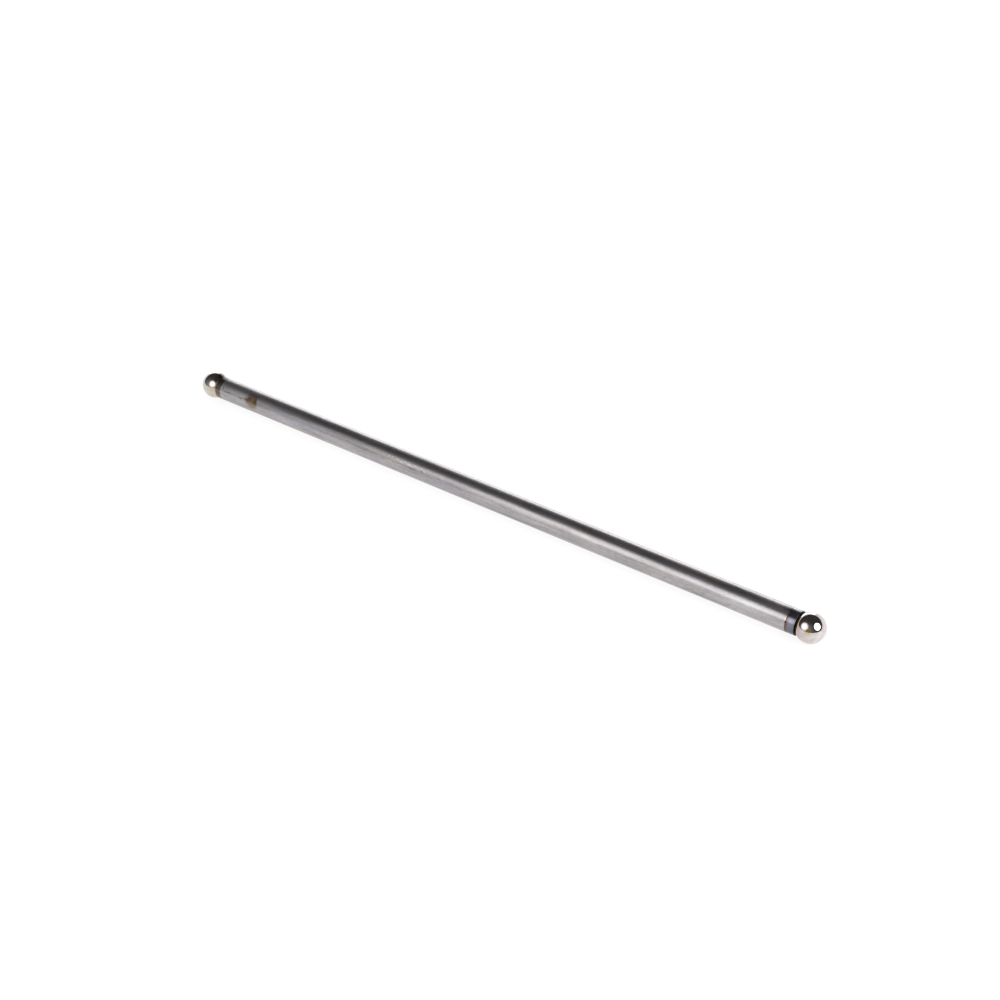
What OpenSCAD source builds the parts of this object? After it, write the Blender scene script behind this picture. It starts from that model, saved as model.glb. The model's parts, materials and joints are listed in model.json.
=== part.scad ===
// Engine pushrod: a ground steel tube with a polished steel ball welded to each end.
// The rod lies along X with its middle at the origin, and the rocker end is at +X.

/* [Rod] */
// Length over both balls
overall_length = 256; // [150:0.5:320]
// Outer diameter of the tube
tube_od = 7.94; // [6.35:0.01:8.7]
// Wall thickness of the tube
tube_wall = 1.52; // [1.2:0.01:2.2]

/* [Balls] */
// Diameter of the ball at each end
ball_d = 9.525; // [9:0.005:12]

/* [Welded seats] */
// Radial width of the land, outward from the bore, on which a ball seats
seat_land = 0.64; // [0.3:0.02:0.9]
// Chamfer round the outer edge of the tube's end face
end_chamfer = 0.1; // [0.05:0.05:0.4]
// Radius of the weld bead in the corner between a ball and the end face
bead_r = 0.15; // [0.1:0.05:0.3]
// Length of the band that was dressed after welding, at the rocker end
rocker_band = 3.05; // [1:0.05:8]
// Length of the dressed band at the lifter end
lifter_band = 2.25; // [1:0.05:8]
// Depth of the dressed bands below the tube's ground surface
band_depth = 0.05; // [0.02:0.01:0.15]

/* [Hidden] */
$fn = 96;

tube_colour = [0.66, 0.65, 0.64];
ball_colour = [0.80, 0.78, 0.75];

tube_r = tube_od / 2;
bore_r = tube_r - tube_wall;
band_r = tube_r - band_depth;
ball_r = ball_d / 2;

// The land's outer edge, where the ball's surface crosses the end face
seat_r = bore_r + seat_land;
// Places along the rod, from its middle: the ball's centre and the tube's end face
ball_x = overall_length / 2 - ball_r;
end_x = ball_x - sqrt(ball_r * ball_r - seat_r * seat_r);

// One end of the tube's section as [radius, place along the rod], from the bore's mouth outward:
// end face, chamfer, dressed band, and a 45 degree step up to the ground surface
function end_outline(band) = [
    [bore_r, end_x],
    [band_r - end_chamfer, end_x],
    [band_r, end_x - end_chamfer],
    [band_r, end_x - band],
    [tube_r, end_x - band - band_depth],
];

// The same outline on the other side of the rod's middle, walked back to the bore
function mirrored(outline) =
    [for (i = [len(outline) - 1 : -1 : 0]) [outline[i].x, -outline[i].y]];

// Revolves a [radius, place along the rod] section round the rod's axis
module turned() {
    rotate([0, 90, 0]) rotate_extrude() children();
}

// Ball at one end: side is 1 for the rocker end and -1 for the lifter end
module end_ball(side) {
    translate([side * ball_x, 0, 0]) sphere(r = ball_r);
}

// Tube with a weld bead round each end, both cut to the balls' own radius so that the balls seat
module rod_tube() {
    color(tube_colour)
    difference() {
        union() {
            turned() polygon(concat(end_outline(rocker_band), mirrored(end_outline(lifter_band))));
            for (side = [-1, 1])
                turned() translate([seat_r, side * end_x]) circle(r = bead_r);
        }
        for (side = [-1, 1]) end_ball(side);
    }
}

module rocker_end_ball() {
    color(ball_colour) end_ball(1);
}

module lifter_end_ball() {
    color(ball_colour) end_ball(-1);
}

rod_tube();
rocker_end_ball();
lifter_end_ball();
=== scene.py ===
"""Studio picture of an engine pushrod, a ground steel tube with a polished ball welded to each end.

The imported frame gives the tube's diameter and the balls' radius and place. Lengths are in
millimetres and turn to metres where they reach a mesh, a lamp or the camera.
"""

import json
import logging
import math
from collections.abc import Callable, Sequence
from dataclasses import dataclass
from enum import Enum
from functools import partial
from typing import Any

import bpy
import numpy as np
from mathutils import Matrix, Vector

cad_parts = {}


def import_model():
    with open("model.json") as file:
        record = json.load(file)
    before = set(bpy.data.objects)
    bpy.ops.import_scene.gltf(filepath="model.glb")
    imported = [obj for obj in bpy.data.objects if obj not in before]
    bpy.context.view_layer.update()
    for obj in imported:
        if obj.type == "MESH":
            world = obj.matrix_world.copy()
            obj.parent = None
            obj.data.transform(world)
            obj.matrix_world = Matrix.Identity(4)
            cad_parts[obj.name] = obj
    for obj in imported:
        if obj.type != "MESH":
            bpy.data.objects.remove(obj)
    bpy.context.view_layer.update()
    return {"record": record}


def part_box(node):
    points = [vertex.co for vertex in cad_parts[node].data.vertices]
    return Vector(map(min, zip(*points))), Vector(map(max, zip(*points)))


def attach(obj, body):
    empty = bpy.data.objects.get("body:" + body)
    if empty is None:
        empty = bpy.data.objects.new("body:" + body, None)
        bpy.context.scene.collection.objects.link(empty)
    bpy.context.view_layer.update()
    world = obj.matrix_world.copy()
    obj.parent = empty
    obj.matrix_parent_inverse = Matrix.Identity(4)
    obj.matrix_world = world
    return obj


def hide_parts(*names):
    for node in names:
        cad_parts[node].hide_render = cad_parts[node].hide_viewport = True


LOG = logging.getLogger("pushrod")
MM = 0.001
TURNED_MAP = "turned"

# Inputs and output of a colour Mix node, which Blender gives the same names as its other kinds.
MIX_FACTOR, MIX_A, MIX_B, MIX_COLOUR = 0, 6, 7, 2

# Reach at which a mark ends: 1 at its outline, and the middle value of the grit that is added.
MARK_EDGE = 1.5

# Values between which a noise mostly stays.
NOISE_LOW, NOISE_HIGH = 0.3, 0.7

AddNode = Callable[..., bpy.types.Node]


def linear(hex_code: str) -> tuple[float, float, float, float]:
    """Turns an sRGB hex colour to linear RGBA by the sRGB curve.

    Args:
        hex_code: Colour as a hash sign and six hex digits.

    Returns:
        Linear red, green and blue, with an alpha of 1.
    """
    srgb = np.array([int(hex_code[i : i + 2], 16) for i in (1, 3, 5)]) / 255
    light = np.where(srgb <= 0.04045, srgb / 12.92, ((srgb + 0.055) / 1.055) ** 2.4)
    return (*light.tolist(), 1.0)


def add_node(
    tree: bpy.types.NodeTree,
    kind: str,
    inputs: dict[str | int, Any] | None = None,
    stops: Sequence[tuple[float, str]] = (),
    **settings: Any,
) -> bpy.types.Node:
    """Adds a node, sets its properties and feeds its inputs.

    Args:
        tree: Node tree that takes the node.
        kind: Blender's name of the node's type.
        inputs: Input names or numbers, each with a socket to link, a hex colour or a value.
        stops: Places and hex colours of a colour ramp.
        settings: Properties of the node.

    Returns:
        The new node.
    """
    node = tree.nodes.new(kind)
    for name, value in settings.items():
        setattr(node, name, value)
    for key, value in (inputs or {}).items():
        if isinstance(value, bpy.types.NodeSocket):
            tree.links.new(value, node.inputs[key])
        else:
            node.inputs[key].default_value = linear(value) if isinstance(value, str) else value
    for number, (place, colour) in enumerate(stops):
        elements = node.color_ramp.elements
        stop = elements[number] if number < 2 else elements.new(place)
        stop.position = place
        stop.color = linear(colour)
    return node


def new_material(name: str) -> tuple[bpy.types.Material, AddNode]:
    """Makes a material with an empty node tree.

    Args:
        name: The material's name.

    Returns:
        The material, and add_node bound to its tree.
    """
    material = bpy.data.materials.new(name)
    material.use_nodes = True
    material.node_tree.nodes.clear()
    return material, partial(add_node, material.node_tree)


def eased(corners: np.ndarray, reach: np.ndarray, steps: int = 5) -> np.ndarray:
    """Rounds the inner corners of a line of points.

    A corner C becomes the parabola (1 - t)^2 A + 2 t (1 - t) C + t^2 B, where A and B lie on its
    two legs at the corner's reach. A support point stands half a reach further out on each leg.

    Args:
        corners: Points of the line, (n, 2).
        reach: How far the rounding goes along the legs of each inner corner, (n - 2,).
        steps: Points on each parabola.

    Returns:
        Points of the rounded line.
    """
    reach = reach[:, None]
    corner = corners[1:-1]
    back = corners[:-2] - corner
    back /= np.linalg.norm(back, axis=1, keepdims=True)
    ahead = corners[2:] - corner
    ahead /= np.linalg.norm(ahead, axis=1, keepdims=True)
    t = np.linspace(0, 1, steps)[:, None]
    first, last = (corner + reach * leg for leg in (back, ahead))
    curve = (
        (1 - t) ** 2 * first[:, None]
        + 2 * t * (1 - t) * corner[:, None]
        + t**2 * last[:, None]
    )
    supports = [(end + 0.5 * reach * leg)[:, None] for end, leg in ((first, back), (last, ahead))]
    rounded = np.concatenate([supports[0], curve, supports[1]], axis=1).reshape(-1, 2)
    return np.concatenate([corners[:1], rounded, corners[-1:]])


def arc(
    centre: Sequence[float], radius: float, start: float, stop: float, steps: int
) -> np.ndarray:
    """Points centre + radius (cos a, sin a), with a going evenly from start to stop.

    Args:
        centre: The arc's centre in the (x, r) plane.
        radius: The arc's radius.
        start: First angle in radians.
        stop: Last angle in radians.
        steps: Number of points.

    Returns:
        Points of the arc, (steps, 2).
    """
    angle = np.linspace(start, stop, steps)
    return np.array(centre) + radius * np.stack([np.cos(angle), np.sin(angle)], axis=1)


def turned(profile: np.ndarray, around: int) -> np.ndarray:
    """Carries a profile round the X axis: each (x, r) goes to (x, r sin a, r cos a).

    Args:
        profile: Points (x, r), as (rows, 2), or as (rows, around, 2) where it changes on its way.
        around: Number of places round the axis.

    Returns:
        Points of the surface, (rows, around, 3).
    """
    angle = np.linspace(0, 2 * np.pi, around, endpoint=False)
    swept = profile if profile.ndim == 3 else np.repeat(profile[:, None], around, axis=1)
    x, r = swept[..., 0], swept[..., 1]
    return np.stack([x, r * np.sin(angle), r * np.cos(angle)], axis=-1)


def ring_quads(rows: int, around: int, looped: bool) -> np.ndarray:
    """Quads between neighbouring rings, closed round the axis.

    Args:
        rows: Number of rings.
        around: Points in each ring.
        looped: Whether the last ring joins the first one.

    Returns:
        Vertex numbers, (quads, 4), facing outwards where the rings run towards +X outside.
    """
    row = np.arange(rows if looped else rows - 1)[:, None]
    column = np.arange(around)[None]
    above, beside = (row + 1) % rows, (column + 1) % around
    corners = [(row, column), (above, column), (above, beside), (row, beside)]
    return np.stack([i * around + j for i, j in corners], axis=-1).reshape(-1, 4)


def new_piece(name: str, points: np.ndarray, faces: list[list[int]]) -> bpy.types.Object:
    """Makes a smooth-shaded mesh object at the origin.

    Args:
        name: Name of the object and its mesh.
        points: Vertices in millimetres, (n, 3).
        faces: Vertex numbers of each face.

    Returns:
        The new object, linked to the scene.
    """
    mesh = bpy.data.meshes.new(name)
    mesh.from_pydata((points * MM).tolist(), [], faces)
    mesh.shade_smooth()
    mesh.validate()
    piece = bpy.data.objects.new(name, mesh)
    bpy.context.scene.collection.objects.link(piece)
    return piece


class End(Enum):
    """The rod's two ends, by the sign of X."""

    ROCKER = 1
    LIFTER = -1


@dataclass(frozen=True)
class RodSizes:
    """Sizes of the rod in millimetres.

    The tube's radius and the balls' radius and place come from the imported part. The wall, the
    welded seats and the dressed bands repeat the part's own values.
    """

    tube_r: float
    ball_r: float
    tip_x: float
    tube_wall: float = 1.52
    seat_land: float = 0.64
    end_chamfer: float = 0.1
    bead_r: float = 0.15
    band_depth: float = 0.05
    rocker_band: float = 3.05
    lifter_band: float = 2.25

    @classmethod
    def from_record(cls, record: dict[str, Any]) -> "RodSizes":
        """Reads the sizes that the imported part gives.

        Args:
            record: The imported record.

        Returns:
            The rod's sizes.
        """
        seat = next(m for m in record["mounts"] if m["name"] == "rocker_ball_seat")
        tube_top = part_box("rod_tube")[1].z
        return cls(tube_top / MM, seat["dims"]["r_mm"], seat["pos_m"][0] / MM)

    @property
    def bore_r(self) -> float:
        """Radius of the sealed bore."""
        return self.tube_r - self.tube_wall

    @property
    def seat_r(self) -> float:
        """Radius at which a ball meets the tube's end face."""
        return self.bore_r + self.seat_land

    @property
    def band_r(self) -> float:
        """Radius of the tube where its end was dressed after welding."""
        return self.tube_r - self.band_depth

    @property
    def ball_x(self) -> float:
        """Distance of a ball's centre from the rod's middle."""
        return self.tip_x - self.ball_r

    @property
    def end_x(self) -> float:
        """Distance of the tube's end faces from the rod's middle."""
        return self.ball_x - math.sqrt(self.ball_r**2 - self.seat_r**2)

    def band(self, end: End) -> float:
        """Length of the dressed band at one end."""
        return self.rocker_band if end is End.ROCKER else self.lifter_band


@dataclass(frozen=True)
class Mark:
    """One oval mark, in millimetres along the rod and up round it from its -Y side."""

    x: float
    up: float
    half_length: float
    half_width: float
    turn: float = 0.0


@dataclass(frozen=True)
class MarkLayer:
    """Marks of one colour: how strongly they cover the steel, and the share that fades."""

    colour: str
    strength: float
    fade: float
    marks: tuple[Mark, ...]


# Painted highlights: lighter steel where the lamps' highlight falls by both ends, and on the rocker
# end's band a painted highlight in its middle and a white one on its top rim.
PAINTED_HIGHLIGHTS = (
    MarkLayer("#D6D3D3", 0.55, 1.0, (Mark(104.0, 1.7, 14.0, 2.8),)),
    MarkLayer("#DAD6D4", 0.75, 1.0, (Mark(-110.0, 3.2, 23.0, 2.4),)),
    MarkLayer("#E6E6F4", 0.7, 0.9, (Mark(118.1, 1.9, 1.8, 1.8),)),
    MarkLayer("#FFFFFF", 0.95, 0.5, (Mark(118.0, 8.2, 1.7, 1.7),)),
)

# Wear that a used rod shows: handling scuffs, scratches and one spot of heat, together with painted
# shade, painted highlights, a painted glint and a painted dark reflection near the ends.
TUBE_WEAR_AND_PAINTED_LIGHT = (
    # Painted shade that darkens the dark reflected band ahead of the rocker end's band and hides
    # the band's edge there, and a painted highlight on the top rim above it.
    MarkLayer("#575353", 0.8, 1.0, (Mark(116.3, 5.9, 3.2, 2.1),)),
    MarkLayer("#6F6969", 0.95, 0.5, (Mark(116.75, 5.3, 0.65, 1.8),)),
    MarkLayer("#BDBBBF", 0.95, 0.5, (Mark(116.75, 7.9, 1.0, 1.1),)),
    # The heat spot: a violet halo, a tan body, a red-brown ridge and an olive side.
    MarkLayer("#9A8E9C", 0.5, 0.9, (Mark(-97.3, 2.4, 2.8, 2.0),)),
    MarkLayer("#8A7468", 0.92, 0.45, (Mark(-101.7, 1.6, 3.4, 2.7),)),
    MarkLayer("#7C6A4E", 0.8, 0.9, (Mark(-101.0, 1.9, 1.9, 1.9),)),
    MarkLayer(
        "#94786B", 0.8, 0.8, (Mark(-102.0, 3.4, 3.0, 1.7, -4.0), Mark(-100.8, 4.0, 3.0, 1.1, 4.0))
    ),
    MarkLayer(
        "#66503F", 0.8, 0.8, (Mark(-103.9, 1.9, 1.8, 0.8, -6.0), Mark(-102.7, 2.5, 1.5, 1.0))
    ),
    MarkLayer("#554A2E", 0.9, 0.8, (Mark(-99.8, 2.1, 1.1, 1.9, 6.0),)),
    MarkLayer("#8A7E54", 0.8, 0.8, (Mark(-100.1, 0.4, 1.7, 1.3),)),
    # Bluish and straw tints left by handling and dry oil.
    MarkLayer("#A39CB0", 0.6, 0.9, (Mark(-36.5, 2.0, 1.6, 0.9),)),
    MarkLayer("#B79F8D", 0.6, 0.9, (Mark(-36.0, -0.6, 1.8, 1.4), Mark(-37.0, 0.4, 0.5, 0.9))),
    # Painted dark reflection on top of the lifter end's weld, and a nick in the edge of the rocker
    # end's band.
    MarkLayer("#2E2722", 0.9, 0.6, (Mark(-119.1, 7.7, 1.0, 2.6), Mark(116.62, 1.4, 0.35, 0.5))),
    # Whitish scuffs, and a painted glint on the chipped edge of the rocker end's band.
    MarkLayer(
        "#D8D5D6",
        0.75,
        0.8,
        (
            Mark(-31.4, 2.2, 1.6, 0.4),
            Mark(-28.2, 2.3, 1.4, 0.5),
            Mark(-25.4, 2.7, 1.2, 0.3),
            Mark(-22.8, 2.5, 0.7, 0.4),
            Mark(-36.9, 2.6, 0.3, 0.8, 8.0),
            Mark(-35.6, 2.4, 0.3, 0.8, 8.0),
            Mark(-33.2, 2.5, 0.8, 0.25, -15.0),
            Mark(-29.8, 2.8, 0.9, 0.25, -20.0),
            Mark(-26.9, 2.0, 0.8, 0.22, -25.0),
            Mark(-24.2, 2.1, 0.7, 0.22, -30.0),
            Mark(-21.4, 2.1, 0.6, 0.25, -35.0),
            Mark(116.35, 2.3, 0.35, 0.8),
        ),
    ),
    # Dark scratches and ticks.
    MarkLayer(
        "#6A6364",
        0.85,
        0.7,
        (
            Mark(-115.9, 2.5, 0.4, 0.7, 12.0),
            Mark(-26.8, 1.42, 3.2, 0.24, 1.2),
            Mark(-22.4, 1.7, 1.0, 0.22, -52.0),
        ),
    ),
    # Fainter scratches and long streaks low on the side.
    MarkLayer(
        "#7C7576",
        0.7,
        0.8,
        (
            Mark(-113.4, 1.66, 2.8, 0.42, 2.0),
            Mark(-114.1, 2.7, 0.4, 0.5),
            Mark(-106.9, 1.5, 1.3, 0.5),
            Mark(-34.9, 1.3, 0.6, 0.3),
            Mark(-39.3, 1.1, 2.2, 0.2, 2.0),
            Mark(-55.6, 1.9, 3.0, 0.2, 4.0),
            Mark(-15.0, 1.55, 1.3, 0.24, 9.0),
            Mark(74.7, -0.1, 0.9, 0.26, 7.0),
            Mark(84.0, -0.6, 1.7, 0.2, 13.0),
            Mark(88.4, -0.25, 1.2, 0.3, 11.0),
            Mark(97.3, -0.5, 1.7, 0.26, 4.0),
            Mark(87.0, -1.5, 5.0, 0.22),
            Mark(20.0, -1.6, 9.0, 0.25),
            Mark(-62.0, -0.9, 7.0, 0.2),
        ),
    ),
)

# A dark reflection painted on top of the lifter end's ball next to its weld, and on the other ball
# a painted highlight on its upper side next to its weld and a straw stain.
BALL_STAINS_AND_PAINTED_LIGHT = (
    MarkLayer("#8A847E", 0.75, 0.8, (Mark(-120.7, 7.6, 1.4, 3.0),)),
    MarkLayer(
        "#1E1B19",
        0.95,
        0.5,
        (
            Mark(-121.1, 9.2, 1.6, 1.9),
            Mark(-120.3, 9.1, 1.0, 2.2),
            Mark(-119.75, 6.5, 0.6, 2.4),
        ),
    ),
    MarkLayer("#DCD6D2", 0.85, 0.7, (Mark(120.3, 6.8, 1.5, 3.0),)),
    MarkLayer("#B99E68", 0.8, 0.8, (Mark(120.2, 1.7, 0.9, 1.9),)),
    MarkLayer("#C8B48C", 0.8, 0.9, (Mark(124.7, 1.2, 1.3, 1.5),)),
    MarkLayer("#A88B4C", 0.9, 0.7, (Mark(124.3, 1.9, 0.9, 0.7),)),
    MarkLayer("#D9A987", 0.8, 0.8, (Mark(125.1, 2.4, 0.7, 0.8),)),
)

# Colours that multiply the tube's steel, by GroundSteel's measure from the end face's outer edge.
# Welding leaves dark scale on the face and temper colours in the band, and the near-black on the
# rocker end's face and bead also paints the shade of the groove between tube and ball.
WELD_TINTS_AND_GROOVE_SHADE = {
    End.ROCKER: (
        (-3.15, "#FFFFFF"),
        (-3.03, "#97826F"),
        (-2.75, "#9C887B"),
        (-2.35, "#A69CA0"),
        (-1.9, "#ABACB6"),
        (-0.16, "#A5A8B3"),
        (0.02, "#62656E"),
        (0.1, "#14110F"),
        (0.5, "#120E0C"),
    ),
    End.LIFTER: (
        (-2.55, "#FFFFFF"),
        (-2.38, "#9F948A"),
        (-1.9, "#A89E94"),
        (-0.4, "#A79C91"),
        (-0.1, "#8A7F75"),
        (0.0, "#5A4F47"),
        (0.4, "#3A322C"),
    ),
}

# Colours of the balls, by millimetres outwards from their centres: straw, violet and brown rings
# next to the hotter weld, and a plain peach one next to the other.
BALL_TINTS = {
    End.ROCKER: (
        (-3.75, "#BCA678"),
        (-3.3, "#CDBA8E"),
        (-2.45, "#C8B592"),
        (-2.0, "#C3AEB2"),
        (-1.6, "#BFACB8"),
        (-1.2, "#CABDB8"),
        (-0.7, "#CDC5C1"),
        (0.0, "#CFC8C6"),
        (2.4, "#D6D1CF"),
        (4.8, "#E3DFDD"),
    ),
    End.LIFTER: (
        (-3.75, "#3A322C"),
        (-3.5, "#6E6259"),
        (-3.35, "#A8988A"),
        (-3.0, "#CDB9A9"),
        (-2.5, "#D2C3B6"),
        (-1.6, "#CFC9C2"),
        (0.0, "#CFCCC6"),
        (4.8, "#D0CDC9"),
    ),
}


def millimetres(add: AddNode) -> bpy.types.NodeSocket:
    """Adds the place on the rod in millimetres."""
    place = add("ShaderNodeTexCoord").outputs["Object"]
    return add("ShaderNodeVectorMath", {0: place, "Scale": 1 / MM}, operation="SCALE").outputs[0]


def noises(
    add: AddNode, mm: bpy.types.NodeSocket, grains: dict[str, tuple[float, float, float]]
) -> dict[str, bpy.types.NodeSocket]:
    """Adds the noises that a finish is mixed from.

    Args:
        add: Adds a node to the material.
        mm: Place on the rod in millimetres.
        grains: Grain sizes in millimetres along X, Y and Z, by name.

    Returns:
        Noise values by name.
    """
    noise = {}
    for name, grain in grains.items():
        scaled = add("ShaderNodeMapping", {"Vector": mm, "Scale": grain}, vector_type="TEXTURE")
        waves = {"Vector": scaled.outputs[0], "Scale": 1.0, "Detail": 3.0}
        noise[name] = add("ShaderNodeTexNoise", waves).outputs[0]
    return noise


def marked(
    add: AddNode,
    mm: bpy.types.NodeSocket,
    radius: float,
    grit: bpy.types.NodeSocket,
    colour: bpy.types.NodeSocket,
    layers: Sequence[MarkLayer],
) -> bpy.types.NodeSocket:
    """Lays marks over a round surface.

    The surface is rolled out to x and u, the radius times the angle up from its -Y side. A mark
    covers where its reach, the root of ((x - x0) / a)^2 + ((u - u0) / b)^2, is under 1, and grit
    added to the reach makes its edge ragged.

    Args:
        add: Adds a node to the material.
        mm: Place on the rod in millimetres.
        radius: Radius of the surface in millimetres.
        grit: Noise that makes the marks ragged.
        colour: Colour of the clean surface.
        layers: Marks, the lowest first.

    Returns:
        The marked surface's colour.
    """
    axes = add("ShaderNodeSeparateXYZ", {0: mm}).outputs
    front = add("ShaderNodeMath", {0: axes["Y"], 1: -1.0}, operation="MULTIPLY").outputs[0]
    angle = add("ShaderNodeMath", {0: axes["Z"], 1: front}, operation="ARCTAN2").outputs[0]
    up = add("ShaderNodeMath", {0: angle, 1: radius}, operation="MULTIPLY").outputs[0]
    sheet = add("ShaderNodeCombineXYZ", {"X": axes["X"], "Y": up}).outputs[0]
    for layer in layers:
        cover = None
        for mark in layer.marks:
            oval = {
                "Vector": sheet,
                "Location": (mark.x, mark.up, 0.0),
                "Rotation": (0.0, 0.0, math.radians(mark.turn)),
                "Scale": (mark.half_length, mark.half_width, 1.0),
            }
            local = add("ShaderNodeMapping", oval, vector_type="TEXTURE").outputs[0]
            reach = add("ShaderNodeVectorMath", {0: local}, operation="LENGTH").outputs["Value"]
            ragged = add("ShaderNodeMath", {0: reach, 1: grit}, operation="ADD").outputs[0]
            fading = {
                "Value": ragged,
                "From Min": MARK_EDGE,
                "From Max": MARK_EDGE - layer.fade,
                "To Max": layer.strength,
            }
            mask = add("ShaderNodeMapRange", fading).outputs[0]
            if cover is not None:
                mask = add("ShaderNodeMath", {0: cover, 1: mask}, operation="MAXIMUM").outputs[0]
            cover = mask
        mixed = {MIX_FACTOR: cover, MIX_A: colour, MIX_B: layer.colour}
        colour = add("ShaderNodeMix", mixed, data_type="RGBA").outputs[MIX_COLOUR]
    return colour


def outwards(
    add: AddNode,
    mm: bpy.types.NodeSocket,
    origin: float,
    noise: bpy.types.NodeSocket,
    wobble: float,
) -> bpy.types.NodeSocket:
    """Measures |x| - origin along the rod, shifted by noise.

    Args:
        add: Adds a node to the material.
        mm: Place on the rod in millimetres.
        origin: Where the measure starts, from the rod's middle.
        noise: Noise value about 0.5.
        wobble: How far the whole range of the noise shifts it.

    Returns:
        Millimetres outwards from the origin.
    """
    x = add("ShaderNodeSeparateXYZ", {0: mm}).outputs["X"]
    from_middle = add("ShaderNodeMath", {0: x}, operation="ABSOLUTE").outputs[0]
    shift = {0: noise, 1: wobble, 2: from_middle}
    shifted = add("ShaderNodeMath", shift, operation="MULTIPLY_ADD").outputs[0]
    start = origin + wobble / 2
    return add("ShaderNodeMath", {0: shifted, 1: start}, operation="SUBTRACT").outputs[0]


def end_colour(
    add: AddNode,
    mm: bpy.types.NodeSocket,
    place: bpy.types.NodeSocket,
    tints: dict[End, Sequence[tuple[float, str]]],
) -> bpy.types.NodeSocket:
    """Colours each end of the rod by its own list of places and colours.

    Args:
        add: Adds a node to the material.
        mm: Place on the rod in millimetres.
        place: Millimetres outwards along the rod.
        tints: Places and colours of each end.

    Returns:
        The colour.
    """
    places = [at for stops in tints.values() for at, _ in stops]
    first, last = min(places), max(places)
    ranged = {"Value": place, "From Min": first, "From Max": last}
    share = add("ShaderNodeMapRange", ranged).outputs[0]
    colour = {}
    for end, stops in tints.items():
        shares = [((at - first) / (last - first), tint) for at, tint in stops]
        colour[end] = add("ShaderNodeValToRGB", {0: share}, shares).outputs[0]
    x = add("ShaderNodeSeparateXYZ", {0: mm}).outputs["X"]
    side = add("ShaderNodeMath", {0: x, 1: 0.0}, operation="GREATER_THAN").outputs[0]
    mixed = {MIX_FACTOR: side, MIX_A: colour[End.LIFTER], MIX_B: colour[End.ROCKER]}
    return add("ShaderNodeMix", mixed, data_type="RGBA").outputs[MIX_COLOUR]


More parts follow.
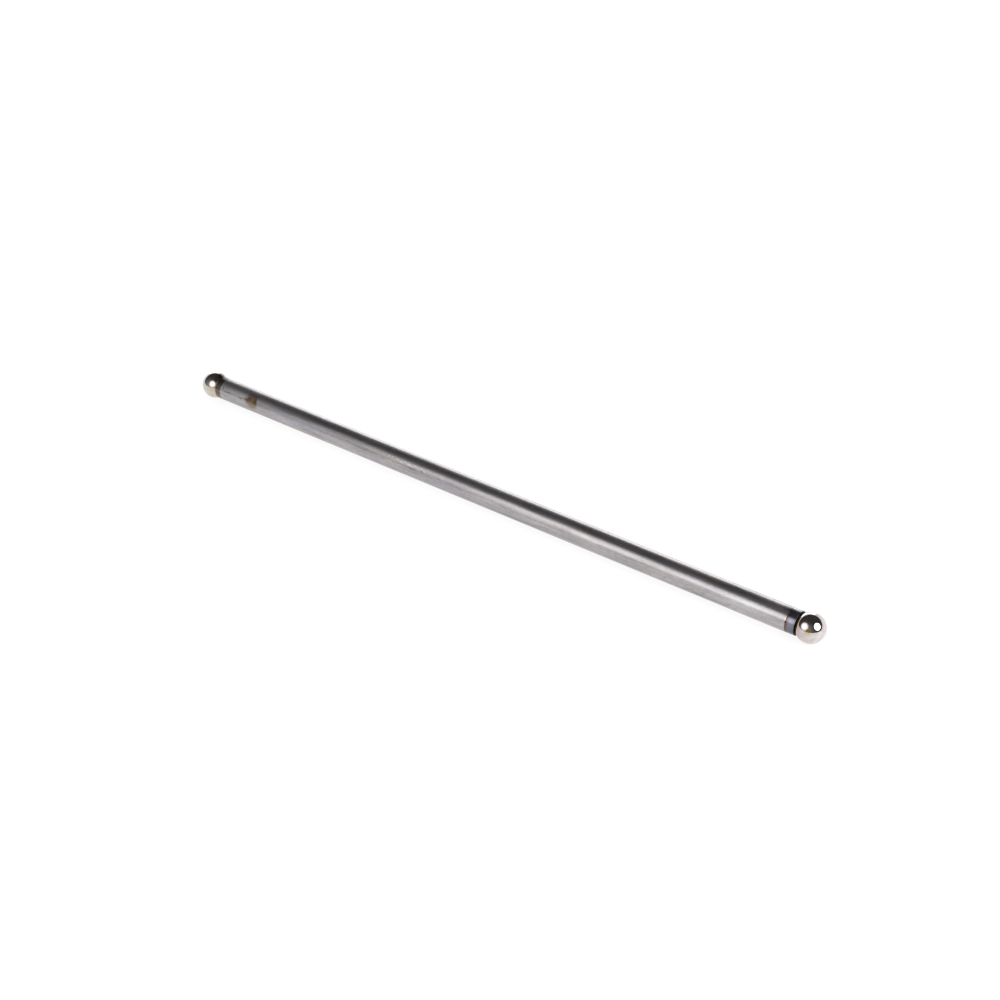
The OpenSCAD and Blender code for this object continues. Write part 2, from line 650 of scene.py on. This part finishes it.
@dataclass(frozen=True)
class GroundSteel:
    """Centreless-ground carbon steel tube: satin, streaked along, tinted at the welds.

    The roughness of the ground side, the dressed bands and the weld's scale varies with the
    streaks by streak_range. Lengths are in millimetres.
    """

    sizes: RodSizes
    roughness: float = 0.365
    band_roughness: float = 0.3
    scale_roughness: float = 0.65
    streak_range: float = 0.08
    edge_blur: float = 0.1
    anisotropy: float = 0.5
    face_share: float = 0.5
    tint_wobble: float = 0.14
    groove_strength: float = 0.25
    groove_depth: float = 0.006

    def material(self) -> bpy.types.Material:
        """Makes the tube's material.

        Grinding runs round the tube, so highlights spread along it: the tangent follows the
        map's U, which runs along the tube. Soft streaks and clouds give the grey its life, and
        the dressed bands are smoother and darker.

        Returns:
            The finished material.
        """
        material, add = new_material("ground_carbon_steel")
        mm = millimetres(add)
        # Real grinding lines are finer than 0.05 mm and are drawn coarse enough to show.
        grains = {
            "streaks": (16.0, 0.8, 0.8),
            "clouds": (18.0, 4.0, 4.0),
            "tones": (26.0, 2.2, 2.2),
            "specks": (1.6, 0.5, 0.5),
            "grinding": (0.22, 5.0, 5.0),
            "wobble": (1.6, 1.6, 1.6),
            "grit": (0.5, 0.5, 0.5),
        }
        noise = noises(add, mm, grains)
        colour = self.steel_colour(add, noise)
        # Painted highlights: lighter steel where the lamps' highlight falls by both ends and on the
        # rocker end's band.
        colour = marked(add, mm, self.sizes.tube_r, noise["grit"], colour, PAINTED_HIGHLIGHTS)
        place = self.weld_place(add, mm, noise["wobble"])
        # The near-black on the rocker end's face and bead is weld scale together with painted shade
        # of the groove between tube and ball.
        mixed = {MIX_FACTOR: 1.0, MIX_A: colour, MIX_B: end_colour(add, mm, place, WELD_TINTS_AND_GROOVE_SHADE)}
        tinted = add("ShaderNodeMix", mixed, data_type="RGBA", blend_type="MULTIPLY")
        colour = tinted.outputs[MIX_COLOUR]
        # Wear marks, together with painted shade, painted highlights, a painted glint and a painted
        # dark reflection near the ends.
        colour = marked(add, mm, self.sizes.tube_r, noise["grit"], colour, TUBE_WEAR_AND_PAINTED_LIGHT)
        grooves = {
            "Height": noise["grinding"],
            "Strength": self.groove_strength,
            "Distance": self.groove_depth * MM,
        }
        along = add("ShaderNodeTangent", direction_type="UV_MAP", uv_map=TURNED_MAP)
        steel = {
            "Base Color": colour,
            "Metallic": 1.0,
            "Roughness": self.gloss(add, mm, place, noise["streaks"]),
            "Normal": add("ShaderNodeBump", grooves).outputs[0],
            "Anisotropic": self.anisotropy,
            "Tangent": along.outputs[0],
        }
        shader = add("ShaderNodeBsdfPrincipled", steel)
        add("ShaderNodeOutputMaterial", {"Surface": shader.outputs[0]})
        return material

    def weld_place(
        self, add: AddNode, mm: bpy.types.NodeSocket, noise: bpy.types.NodeSocket
    ) -> bpy.types.NodeSocket:
        """Measures how near the weld is: |x| - end_x + face_share (tube_r - r).

        Args:
            add: Adds a node to the material.
            mm: Place on the rod in millimetres.
            noise: Noise value that shifts the measure.

        Returns:
            Millimetres, 0 at the end face's outer edge and rising outwards and towards the axis.
        """
        origin = self.sizes.end_x - self.face_share * self.sizes.tube_r
        place = outwards(add, mm, origin, noise, self.tint_wobble)
        across = add("ShaderNodeVectorMath", {0: mm, 1: (0.0, 1.0, 1.0)}, operation="MULTIPLY")
        radius = add("ShaderNodeVectorMath", {0: across.outputs[0]}, operation="LENGTH")
        inwards = {0: radius.outputs["Value"], 1: -self.face_share, 2: place}
        return add("ShaderNodeMath", inwards, operation="MULTIPLY_ADD").outputs[0]

    def steel_colour(
        self, add: AddNode, noise: dict[str, bpy.types.NodeSocket]
    ) -> bpy.types.NodeSocket:
        """Mixes the clean steel's greys, from clouds, warm and bluish tones, streaks and specks.

        Args:
            add: Adds a node to the material.
            noise: Noise values by name.

        Returns:
            The clean steel's colour.
        """
        greys = ((0.3, "#ADAAA9"), (0.7, "#BFBCBB"))
        tones = ((0.32, "#F5F3FE"), (0.5, "#FEFDFF"), (0.68, "#FFFBF8"))
        streaks = ((0.3, "#E4E4E6"), (0.5, "#F6F6F6"), (0.62, "#FFFFFF"))
        specks = ((0.36, "#EEEDF0"), (0.62, "#FFFFFF"))
        colour = add("ShaderNodeValToRGB", {0: noise["clouds"]}, greys).outputs[0]
        for name, stops in (("tones", tones), ("streaks", streaks), ("specks", specks)):
            shade = add("ShaderNodeValToRGB", {0: noise[name]}, stops).outputs[0]
            mixed = {MIX_FACTOR: 1.0, MIX_A: colour, MIX_B: shade}
            mix = add("ShaderNodeMix", mixed, data_type="RGBA", blend_type="MULTIPLY")
            colour = mix.outputs[MIX_COLOUR]
        return colour

    def gloss(
        self,
        add: AddNode,
        mm: bpy.types.NodeSocket,
        place: bpy.types.NodeSocket,
        streaks: bpy.types.NodeSocket,
    ) -> bpy.types.NodeSocket:
        """Makes the roughness: lower in the dressed bands, higher on the scale, and streaked.

        Args:
            add: Adds a node to the material.
            mm: Place on the rod in millimetres.
            place: Millimetres outwards from the tube's end face.
            streaks: Noise that runs along the tube.

        Returns:
            The roughness.
        """
        x = add("ShaderNodeSeparateXYZ", {0: mm}).outputs["X"]
        rocker = add("ShaderNodeMath", {0: x, 1: 0.0}, operation="GREATER_THAN").outputs[0]
        # The rocker end's longer band is shifted so that both bands start at the same value.
        edge = -self.sizes.lifter_band
        shifted = {0: rocker, 1: self.sizes.rocker_band - self.sizes.lifter_band, 2: place}
        # The streaks' noise is about 0.5, so half of its range is taken off first.
        taken_off = self.streak_range / 2
        level = {
            "Value": add("ShaderNodeMath", shifted, operation="MULTIPLY_ADD").outputs[0],
            "From Min": edge - self.edge_blur,
            "From Max": edge + self.edge_blur,
            "To Min": self.roughness - taken_off,
            "To Max": self.band_roughness - taken_off,
        }
        scaled = {
            "Value": place,
            "From Min": 0.0,
            "From Max": self.edge_blur,
            "To Min": add("ShaderNodeMapRange", level).outputs[0],
            "To Max": self.scale_roughness - taken_off,
        }
        base = add("ShaderNodeMapRange", scaled).outputs[0]
        varied = {0: streaks, 1: self.streak_range, 2: base}
        return add("ShaderNodeMath", varied, operation="MULTIPLY_ADD").outputs[0]


@dataclass(frozen=True)
class PolishedBallSteel:
    """Hardened bearing steel, polished, with temper colours near the weld.

    Grains and places are in millimetres, and places count outwards from the ball's centre.
    """

    sizes: RodSizes
    polished_roughness: float = 0.04
    scratched_roughness: float = 0.09
    dull_roughness: float = 0.42
    dull_up_to: float = -3.3
    polished_from: float = -2.7
    tint_wobble: float = 0.3
    scratch_strength: float = 0.1
    scratch_depth: float = 0.002

    def material(self) -> bpy.types.Material:
        """Makes the balls' material.

        The polish mirrors the studio. Heat from the weld leaves straw, brown and violet rings
        and dulls the steel next to it, and fine scratches break the mirror up a little.

        Returns:
            The finished material.
        """
        material, add = new_material("polished_bearing_steel")
        mm = millimetres(add)
        grain = {"wobble": 2.4, "grit": 0.5, "scratches": 0.3, "haze": 1.8}
        noise = noises(add, mm, {name: (size, size, size) for name, size in grain.items()})
        place = outwards(add, mm, self.sizes.ball_x, noise["wobble"], self.tint_wobble)
        colour = end_colour(add, mm, place, BALL_TINTS)
        hazes = ((0.35, "#EFEAE8"), (0.6, "#FFFFFF"))
        haze = add("ShaderNodeValToRGB", {0: noise["haze"]}, hazes).outputs[0]
        mixed = {MIX_FACTOR: 1.0, MIX_A: colour, MIX_B: haze}
        hazed = add("ShaderNodeMix", mixed, data_type="RGBA", blend_type="MULTIPLY")
        colour = hazed.outputs[MIX_COLOUR]
        rough = {
            "Value": noise["scratches"],
            "From Min": NOISE_LOW,
            "From Max": NOISE_HIGH,
            "To Min": self.polished_roughness,
            "To Max": self.scratched_roughness,
        }
        dulled = {
            "Value": place,
            "From Min": self.dull_up_to,
            "From Max": self.polished_from,
            "To Min": self.dull_roughness,
            "To Max": add("ShaderNodeMapRange", rough).outputs[0],
        }
        scratches = {
            "Height": noise["scratches"],
            "Strength": self.scratch_strength,
            "Distance": self.scratch_depth * MM,
        }
        # The ball marks hold a straw stain, a painted highlight on the rocker end's ball and a
        # painted dark reflection on the lifter end's ball.
        steel = {
            "Base Color": marked(add, mm, self.sizes.ball_r, noise["grit"], colour, BALL_STAINS_AND_PAINTED_LIGHT),
            "Metallic": 1.0,
            "Roughness": add("ShaderNodeMapRange", dulled).outputs[0],
            "Normal": add("ShaderNodeBump", scratches).outputs[0],
        }
        shader = add("ShaderNodeBsdfPrincipled", steel)
        add("ShaderNodeOutputMaterial", {"Surface": shader.outputs[0]})
        return material


@dataclass(frozen=True)
class StudioPaper:
    """White paper under the rod: it glows white to the camera and keeps a faint shadow."""

    glow: float = 0.87

    def material(self) -> bpy.types.Material:
        """Makes the floor's material: a glow that cameras and mirrors see, and a pale matt rest.

        Returns:
            The finished material.
        """
        material, add = new_material("white_paper")
        path = add("ShaderNodeLightPath").outputs
        rays = {0: path["Is Camera Ray"], 1: path["Is Glossy Ray"]}
        seen = add("ShaderNodeMath", rays, operation="MAXIMUM").outputs[0]
        rays = {0: seen, 1: path["Is Transmission Ray"]}
        seen = add("ShaderNodeMath", rays, operation="MAXIMUM").outputs[0]
        strength = add("ShaderNodeMath", {0: seen, 1: self.glow}, operation="MULTIPLY").outputs[0]
        glow = add("ShaderNodeEmission", {"Color": "#FFFFFF", "Strength": strength})
        rest = 1 - self.glow
        matt = add("ShaderNodeBsdfDiffuse", {"Color": (rest, rest, rest, 1.0)})
        both = add("ShaderNodeAddShader", {0: glow.outputs[0], 1: matt.outputs[0]})
        add("ShaderNodeOutputMaterial", {"Surface": both.outputs[0]})
        return material


@dataclass
class GroundTube:
    """The tube: ground outside, chamfered and dressed at its ends, with a seat in each mouth.

    Each wave of the weld bead's ripple is a height, a count round the bead and a phase.
    """

    sizes: RodSizes
    name: str = "rod_tube_visual"
    around: int = 192
    outer_rows: int = 64
    bore_rows: int = 32
    seat_rows: int = 7
    bead_rows: int = 8
    lead: float = 1.0
    step_width: float = 0.12
    step_ease: float = 0.04
    chamfer_ease: float = 0.03
    ripple: float = 0.03
    waves: tuple[tuple[float, int, float], ...] = ((0.5, 11, 0.0), (0.3, 19, 1.3), (0.2, 27, 0.0))

    def end_outline(self, end: End) -> tuple[np.ndarray, np.ndarray]:
        """Outline of one end from the ground side to the bore, with outwards as +x.

        Straight legs make the band's step, the chamfer and the end face. An arc about the seat's
        edge makes the weld bead, and an arc of the ball's own radius makes the seat.

        Args:
            end: Which end.

        Returns:
            Points (x, r), and how much of the bead's ripple each takes, as (x, r) shares.
        """
        s = self.sizes
        edge = s.end_x - s.band(end)
        corners = np.array(
            [
                (edge - self.lead, s.tube_r),
                (edge - self.step_width / 2, s.tube_r),
                (edge + self.step_width / 2, s.band_r),
                (s.end_x - s.end_chamfer, s.band_r),
                (s.end_x, s.band_r - s.end_chamfer),
                (s.end_x, s.seat_r + s.bead_r),
            ]
        )
        face = eased(corners, np.repeat([self.step_ease, self.chamfer_ease], 2))
        seat_angle = math.atan2(s.seat_r, s.end_x - s.ball_x)
        toe_angle = seat_angle - 2 * math.asin(s.bead_r / 2 / s.ball_r)
        bore_angle = math.pi - math.asin(s.bore_r / s.ball_r)
        seat = arc((s.ball_x, 0.0), s.ball_r, toe_angle, bore_angle, self.seat_rows)
        bead_stop = math.atan2(seat[0, 1] - s.seat_r, seat[0, 0] - s.end_x)
        bead = arc((s.end_x, s.seat_r), s.bead_r, math.pi / 2, bead_stop, self.bead_rows)
        window = np.sin(np.linspace(0, np.pi, len(bead)))[1:-1, None]
        normal = (bead[1:-1] - (s.end_x, s.seat_r)) / s.bead_r
        outline = np.concatenate([face, bead[1:-1], seat])
        share = np.zeros_like(outline)
        share[len(face) : len(face) + len(normal)] = window * normal
        return outline, share

    def surface(self) -> np.ndarray:
        """Turns the whole closed outline, and ripples the weld beads by a sum of sines.

        Returns:
            Points in millimetres, (rows, around, 3).
        """
        flip = np.array([-1.0, 1.0])
        rocker, rocker_share = self.end_outline(End.ROCKER)
        lifter, lifter_share = self.end_outline(End.LIFTER)
        lifter, lifter_share = (lifter * flip)[::-1], (lifter_share * flip)[::-1]
        along = np.linspace(0, 1, self.outer_rows + 2)[1:-1, None]
        outer = lifter[-1] + along * (rocker[0] - lifter[-1])
        along = np.linspace(0, 1, self.bore_rows + 2)[1:-1, None]
        bore = rocker[-1] + along * (lifter[0] - rocker[-1])
        loop = np.concatenate([lifter, outer, rocker, bore])
        share = np.concatenate(
            [lifter_share, np.zeros_like(outer), rocker_share, np.zeros_like(bore)]
        )
        angle = np.linspace(0, 2 * np.pi, self.around, endpoint=False)
        wave = sum(high * np.sin(count * angle + phase) for high, count, phase in self.waves)
        rippled = loop[:, None] + self.ripple * wave[None, :, None] * share[:, None]
        return turned(rippled, self.around)

    def build(self) -> bpy.types.Object:
        """Makes the tube's mesh, with a map whose U runs along the outline and V round it.

        Returns:
            The tube's object, riding on the root body.
        """
        points = self.surface()
        rows = len(points)
        quads = ring_quads(rows, self.around, looped=True)
        piece = new_piece(self.name, points.reshape(-1, 3), quads.tolist())
        u = np.linspace(0, 1, rows + 1)
        v = np.linspace(0, 1, self.around + 1)
        row, column = np.meshgrid(np.arange(rows), np.arange(self.around), indexing="ij")
        corners = [(row, column), (row + 1, column), (row + 1, column + 1), (row, column + 1)]
        loops = np.stack([np.stack([u[i], v[j]], axis=-1) for i, j in corners], axis=2)
        turned_map = piece.data.uv_layers.new(name=TURNED_MAP)
        turned_map.data.foreach_set("uv", loops.ravel())
        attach(piece, "root")
        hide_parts("rod_tube")
        return piece

    def dress(self, piece: bpy.types.Object, finish: bpy.types.Material) -> None:
        """Gives the tube its finish."""
        piece.data.materials.append(finish)


@dataclass
class WeldedBall:
    """A polished ball at one end of the rod."""

    sizes: RodSizes
    end: End
    around: int = 192
    rows: int = 97

    @property
    def node(self) -> str:
        """Name of the ball's CAD node."""
        return f"{self.end.name.lower()}_end_ball"

    def build(self) -> bpy.types.Object:
        """Turns a half circle into a sphere that has one vertex at each pole.

        Returns:
            The ball's object, riding on the root body.
        """
        s = self.sizes
        centre = (self.end.value * s.ball_x, 0.0)
        half = arc(centre, s.ball_r, math.pi, 0.0, self.rows)
        rings = turned(half[1:-1], self.around)
        count = len(rings) * self.around
        poles = [(centre[0] - s.ball_r, 0.0, 0.0), (centre[0] + s.ball_r, 0.0, 0.0)]
        points = np.concatenate([rings.reshape(-1, 3), poles])
        first = np.arange(self.around)
        beside = (first + 1) % self.around
        last = count - self.around
        low_cap = np.stack([np.full_like(first, count), first, beside], axis=1)
        high_cap = np.stack([np.full_like(first, count + 1), last + beside, last + first], axis=1)
        quads = ring_quads(len(rings), self.around, looped=False)
        faces = quads.tolist() + low_cap.tolist() + high_cap.tolist()
        piece = new_piece(f"{self.node}_visual", points, faces)
        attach(piece, "root")
        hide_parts(self.node)
        return piece

    def dress(self, piece: bpy.types.Object, finish: bpy.types.Material) -> None:
        """Gives the ball its finish."""
        piece.data.materials.append(finish)


class LampShape(Enum):
    """Outline of a lamp's front."""

    ROUND = "ELLIPSE"
    SQUARE = "RECTANGLE"


@dataclass(frozen=True)
class Softbox:
    """A soft lamp: centre, aim, width and height in millimetres, and brightness.

    A brightness of 1 is the white of the paper. The soft rim is the share of the lamp's radius
    over which its glow fades.
    """

    name: str
    shape: LampShape
    centre: tuple[float, float, float]
    aim: tuple[float, float, float]
    width: float
    height: float
    brightness: float
    soft_rim: float = 0.0
    rim_glow: float = 0.15

    def hang(self) -> None:
        """Makes the lamp. The camera doesn't see it, and polished steel does."""
        lamp = bpy.data.lights.new(self.name, "AREA")
        lamp.shape = self.shape.value
        lamp.size = self.width * MM
        lamp.size_y = self.height * MM
        lamp.energy = self.brightness * math.pi * lamp.size * lamp.size_y
        if self.soft_rim:
            self.soften(lamp)
        holder = bpy.data.objects.new(self.name, lamp)
        centre = Vector(self.centre)
        holder.location = centre * MM
        holder.rotation_euler = (Vector(self.aim) - centre).to_track_quat("-Z", "Y").to_euler()
        holder.visible_camera = False
        bpy.context.scene.collection.objects.link(holder)

    def soften(self, lamp: bpy.types.AreaLight) -> None:
        """Fades the glow from the middle to the rim, as a diffuser in front of a flash does."""
        lamp.use_nodes = True
        lamp.node_tree.nodes.clear()
        add = partial(add_node, lamp.node_tree)
        # The front's own coordinates run from 0 to 1, so the rim is 0.5 from the middle.
        rim = 0.5
        front = {0: add("ShaderNodeNewGeometry").outputs["Parametric"], 1: (rim, rim, 0.0)}
        fading = {
            "Value": add("ShaderNodeVectorMath", front, operation="DISTANCE").outputs["Value"],
            "From Min": rim,
            "From Max": rim * (1 - self.soft_rim),
            "To Min": self.rim_glow,
            "To Max": 1.0,
        }
        strength = add("ShaderNodeMapRange", fading).outputs[0]
        shader = add("ShaderNodeEmission", {"Strength": strength})
        add("ShaderNodeOutputLight", {"Surface": shader.outputs[0]})


@dataclass
class Studio:
    """A white table under a dark ceiling, with a white backdrop behind and two softboxes."""

    sizes: RodSizes
    floor_half: float = 4000.0
    backdrop_rise: float = 0.6
    backdrop_azimuth: float = 15.0
    backdrop_blur: float = 0.03
    ceiling: float = 0.045
    spill: float = 0.37
    spill_azimuth: float = -12.0
    spill_power: float = 2.5
    softboxes: tuple[Softbox, ...] = (
        Softbox(
            "left_softbox",
            LampShape.ROUND,
            centre=(-37.0, -246.0, 155.0),
            aim=(35.0, 0.0, 0.0),
            width=385.0,
            height=335.0,
            brightness=1.68,
            soft_rim=0.6,
        ),
        Softbox(
            "right_softbox",
            LampShape.ROUND,
            centre=(455.0, -23.0, 233.0),
            aim=(123.0, 0.0, 0.0),
            width=356.0,
            height=356.0,
            brightness=3.0,
        ),
        Softbox(
            "backdrop_panel",
            LampShape.SQUARE,
            centre=(-1094.0, 856.0, 190.0),
            aim=(-1270.0, -128.0, 190.0),
            width=2120.0,
            height=420.0,
            brightness=1.6,
        ),
    )

    def lay_floor(self) -> None:
        """Lays a flat sheet of paper that the balls rest on."""
        corner = np.array([(-1, -1), (1, -1), (1, 1), (-1, 1)]) * self.floor_half
        points = np.column_stack([corner, np.full(4, -self.sizes.ball_r)])
        floor = new_piece("paper_floor", points, [[0, 1, 2, 3]])
        floor.data.materials.append(StudioPaper().material())

    def hang_lamps(self) -> None:
        """Hangs the softboxes."""
        for softbox in self.softboxes:
            softbox.hang()

    def make_room(self) -> None:
        """Makes a white room in which mirrors see a dark ceiling above the backdrop.

        The backdrop ends where a direction d meets the plane through the table that rises away
        from the camera. Spill from the lamps lifts the dark by a power of d's cosine from the
        camera's side.
        """
        world = bpy.data.worlds.new("studio_room")
        world.use_nodes = True
        world.node_tree.nodes.clear()
        add = partial(add_node, world.node_tree)
        away = math.radians(self.backdrop_azimuth)
        rise = self.backdrop_rise
        above = (rise * math.sin(away), -rise * math.cos(away), 1.0)
        way = add("ShaderNodeTexCoord").outputs["Generated"]
        height = add("ShaderNodeVectorMath", {0: way, 1: above}, operation="DOT_PRODUCT")
        edge = {
            "Value": height.outputs["Value"],
            "From Min": -self.backdrop_blur,
            "From Max": self.backdrop_blur,
        }
        open_above = add("ShaderNodeMapRange", edge).outputs[0]
        glossy = add("ShaderNodeLightPath").outputs["Is Glossy Ray"]
        dark = add("ShaderNodeMath", {0: open_above, 1: glossy}, operation="MULTIPLY").outputs[0]
        near = math.radians(self.spill_azimuth)
        front = {0: way, 1: (math.sin(near), -math.cos(near), 0.0)}
        cosine = add("ShaderNodeVectorMath", front, operation="DOT_PRODUCT").outputs["Value"]
        facing = add("ShaderNodeMath", {0: cosine, 1: 0.0}, operation="MAXIMUM").outputs[0]
        lit = {0: facing, 1: self.spill_power}
        lift = {
            0: add("ShaderNodeMath", lit, operation="POWER").outputs[0],
            1: self.spill,
            2: self.ceiling - 1.0,
        }
        drop = add("ShaderNodeMath", lift, operation="MULTIPLY_ADD").outputs[0]
        dimmed = {0: dark, 1: drop, 2: 1.0}
        strength = add("ShaderNodeMath", dimmed, operation="MULTIPLY_ADD").outputs[0]
        room = add("ShaderNodeBackground", {"Color": "#FFFFFF", "Strength": strength})
        add("ShaderNodeOutputWorld", {"Surface": room.outputs[0]})
        bpy.context.scene.world = world


@dataclass(frozen=True)
class PhotoCamera:
    """The photograph's camera: lengths in millimetres, angles in degrees, the picture in pixels."""

    place: tuple[float, float, float] = (301.23, -384.93, 307.93)
    azimuth: float = 37.3
    elevation: float = 32.44
    focal_px: float = 1744.2
    image_px: float = 1000.0
    sensor: float = 36.0
    clip_start: float = 10.0

    def set_up(self) -> None:
        """Makes the camera and gives it to the scene."""
        camera = bpy.data.cameras.new("photo_camera")
        camera.sensor_width = self.sensor
        camera.lens = self.sensor * self.focal_px / self.image_px
        camera.clip_start = self.clip_start * MM
        holder = bpy.data.objects.new("photo_camera", camera)
        holder.location = Vector(self.place) * MM
        holder.rotation_euler = (math.radians(90 - self.elevation), 0.0, math.radians(self.azimuth))
        bpy.context.scene.collection.objects.link(holder)
        bpy.context.scene.camera = holder


def main() -> None:
    """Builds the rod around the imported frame, then the studio and the camera."""
    logging.basicConfig(level=logging.INFO, format="%(name)s: %(message)s")
    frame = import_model()
    bpy.context.scene.view_settings.view_transform = "Standard"
    sizes = RodSizes.from_record(frame["record"])
    tube_finish = GroundSteel(sizes).material()
    ball_finish = PolishedBallSteel(sizes).material()
    parts = [(GroundTube(sizes), tube_finish)]
    parts += [(WeldedBall(sizes, end), ball_finish) for end in End]
    for part, finish in parts:
        piece = part.build()
        part.dress(piece, finish)
        LOG.info("%s: %d faces, %s", piece.name, len(piece.data.polygons), finish.name)
    studio = Studio(sizes)
    studio.lay_floor()
    studio.hang_lamps()
    studio.make_room()
    PhotoCamera().set_up()


if __name__ == "__main__":
    main()
